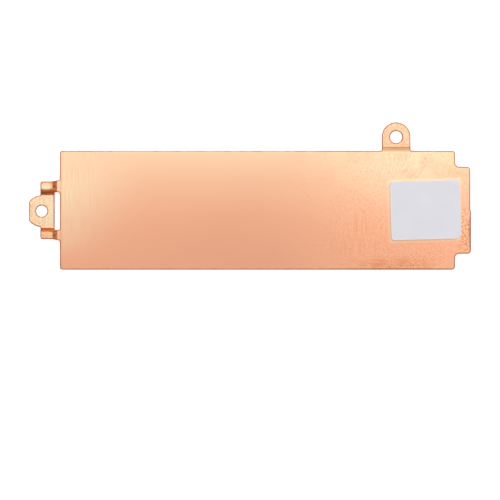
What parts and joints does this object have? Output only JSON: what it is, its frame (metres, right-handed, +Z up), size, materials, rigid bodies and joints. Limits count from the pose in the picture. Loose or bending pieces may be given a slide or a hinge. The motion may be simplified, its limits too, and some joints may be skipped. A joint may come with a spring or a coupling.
{
  "type": "ssd heat sink",
  "caption": "Flat copper heat sink plate for an M.2 drive card, with a stepped screw ear at its end, a stepped ear on its side and a thermal pad.",
  "frame": {"origin": "on the axis of the end screw hole, at the underside of its tab, where a standoff meets it", "axes": "+X along the plate from the end screw hole to the tongue, +Y towards the side ear, +Z up through the plate to the thermal pad"},
  "size_m": [0.0861, 0.0287, 0.003],
  "materials": {
    "copper": "satin, rolled and lightly brushed, bare copper",
    "pad": "matte, soft, faintly lavender white"
  },
  "bodies": {
    "root": {"copper_plate": "copper", "thermal_pad": "pad"}
  },
  "joints": []
}
